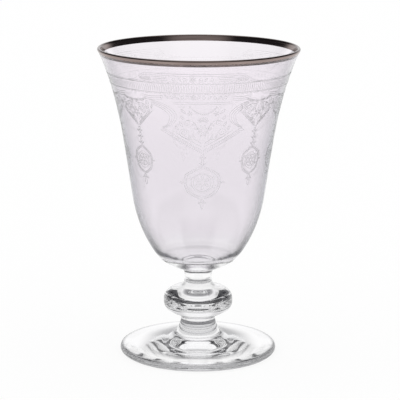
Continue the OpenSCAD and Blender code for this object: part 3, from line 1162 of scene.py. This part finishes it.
class GOBLET_OT_foot(bpy.types.Operator):
    """Spins the foot: a shallow cone with a round edge, hollowed below"""

    bl_idname = "goblet.foot"
    bl_label = "Foot"

    def execute(self, context):
        sizes = context.scene.goblet_sizes
        edge_r = sizes.foot_edge_h / 2.0
        centre = Vector((sizes.foot_d / 2.0 - edge_r, edge_r))
        slope = sizes.foot_edge_slope
        top = station(sizes.foot_weld_d, sizes.foot_h, math.pi - sizes.foot_weld_lean)
        flare = station(sizes.foot_flare_d, sizes.foot_flare_z, LEVEL + sizes.foot_flare_slope)
        edge = Station(centre + edge_r * heading(slope), LEVEL + slope)
        hollow_r = centre.x - sizes.foot_ring_w
        hollow_lean = 2.0 * math.atan2(sizes.foot_hollow_h, hollow_r) - LEVEL
        hollow_edge = station(2.0 * hollow_r, 0.0, hollow_lean)
        hollow_top = station(0.0, sizes.foot_hollow_h, -LEVEL)
        profile = (
            [Vector((0.0, sizes.foot_h))]
            + outline([top, flare, edge], sizes.steps)
            + arc(centre, edge_r, LEVEL - slope, -LEVEL, sizes.steps)
            + outline([hollow_edge, hollow_top], sizes.steps))
        bm = smoothed(turned(profile, sizes.around), [sizes.foot_h])
        colours = context.scene.goblet_colours
        spun = glass_material("spun_glass", colours.stem_tint, SPUN)
        ends = (centre.x - edge_r / 2.0, centre.x + edge_r / 2.0)
        paint_edge_shade(spun, colours.stem_tint, colours.foot_edge, ends)
        new_piece("goblet_foot", bm, [spun, weld_material()], "foot")
        return {"FINISHED"}


class GOBLET_OT_rim_band(bpy.types.Operator):
    """Lays the metal band over the lip"""

    bl_idname = "goblet.rim_band"
    bl_label = "Lip band"

    # Depths below the lip over which the painted highlight comes in
    CREST = (0.3 * MM, 0.8 * MM)

    def execute(self, context):
        sizes = context.scene.goblet_sizes
        bowl = BowlOutline(sizes)
        profile = bowl.over_lip(0.0) + bowl.over_lip(sizes.band_t)[::-1]
        bm = smoothed(turned(profile, sizes.around, closed=True))
        lustre = lip_material(context.scene.goblet_colours, [sizes.lip_z - down for down in self.CREST])
        new_piece("goblet_rim_band", bm, [lustre], "rim_band")
        return {"FINISHED"}


class GOBLET_OT_frieze(bpy.types.Operator):
    """Etches the frieze: a reeded band with crests, lappets, medallions and drops"""

    bl_idname = "goblet.frieze"
    bl_label = "Frieze"

    RINGS = (REED_HIGH * MM, REED_LOW * MM)
    RING_STEPS = 192
    SMALL_SHARES = (0.3375, 0.5875)
    SWAG_SHARES = (0.21, 0.46, 0.715)

    def execute(self, context):
        frieze = context.scene.goblet_frieze
        wall = Wall(BowlOutline(context.scene.goblet_sizes).flare)
        bm = bmesh.new()
        pitch = TURN / frieze.repeats
        large = [frieze.bearing + turn for turn in all_round(frieze.repeats)]
        small = [bearing + pitch * share for bearing in large for share in self.SMALL_SHARES]
        crests = [bearing - frieze.crest_lag for bearing in large]
        between = [bearing + pitch * share for bearing in large for share in self.SWAG_SHARES]
        for draw, bearings in ((draw_large_pendant, large), (draw_small_pendant, small), (draw_crest, crests),
                               (draw_swag, between), (draw_reed, all_round(frieze.reeds)),
                               (draw_scallop, all_round(frieze.scallops))):
            pen = Pen(frieze.line_w, frieze.relief)
            draw(pen)
            sheet = pen.sheet(draw.__name__)
            for bearing in bearings:
                wall.lay(bm, sheet, bearing, frieze.gap)
            bpy.data.meshes.remove(sheet)
        for height in self.RINGS:
            self.add_ring(bm, wall.ring(height, frieze.line_w, frieze.relief, frieze.gap))
        colours = context.scene.goblet_colours
        frost = frost_material("etched_frost", colours, (1.0, frieze.from_inside))
        underside = frost_material("etched_underside", colours, (frieze.from_inside, 1.0))
        new_piece("goblet_frieze", bm, [frost, underside])
        return {"FINISHED"}

    def add_ring(self, bm, profile):
        """Adds a fine turned ring."""
        ring = turned(profile, self.RING_STEPS, closed=True)
        for face in ring.faces:
            inwards = face.normal.xy.dot(face.calc_center_median().xy) < 0.0
            face.material_index = UNDERSIDE if inwards else 0
        mesh = mesh_of("ring", ring)
        bm.from_mesh(mesh)
        bpy.data.meshes.remove(mesh)


# Panel and registration

class GOBLET_PT_panel(bpy.types.Panel):
    """Lists the goblet's operators and sizes"""

    bl_idname = "GOBLET_PT_panel"
    bl_label = "Wine goblet"
    bl_space_type = "VIEW_3D"
    bl_region_type = "UI"
    bl_category = "Goblet"

    def draw(self, context):
        column = self.layout.column()
        for operator in OPERATORS:
            column.operator(operator.bl_idname)
        for setting in GROUPS:
            group = getattr(context.scene, setting)
            box = self.layout.box()
            for name in group.__annotations__:
                box.prop(group, name)


GROUPS = {"goblet_sizes": GobletSizes, "goblet_frieze": GobletFrieze, "goblet_colours": GobletColours,
          "goblet_stage": GobletStage}
OPERATORS = (GOBLET_OT_stage, GOBLET_OT_foot, GOBLET_OT_stem, GOBLET_OT_bowl, GOBLET_OT_rim_band,
             GOBLET_OT_frieze)
CLASSES = tuple(GROUPS.values()) + OPERATORS + (GOBLET_PT_panel,)


def register():
    """Adds the classes and the scene's settings."""
    for cls in CLASSES:
        bpy.utils.register_class(cls)
    for setting, group in GROUPS.items():
        setattr(bpy.types.Scene, setting, PointerProperty(type=group))


def unregister():
    """Takes the settings and the classes away again."""
    for setting in GROUPS:
        delattr(bpy.types.Scene, setting)
    for cls in reversed(CLASSES):
        bpy.utils.unregister_class(cls)


def main():
    """Builds the goblet."""
    register()
    bpy.ops.goblet.stage()
    bpy.ops.goblet.foot()
    bpy.ops.goblet.stem()
    bpy.ops.goblet.bowl()
    bpy.ops.goblet.rim_band()
    bpy.ops.goblet.frieze()


if __name__ == "__main__":
    main()
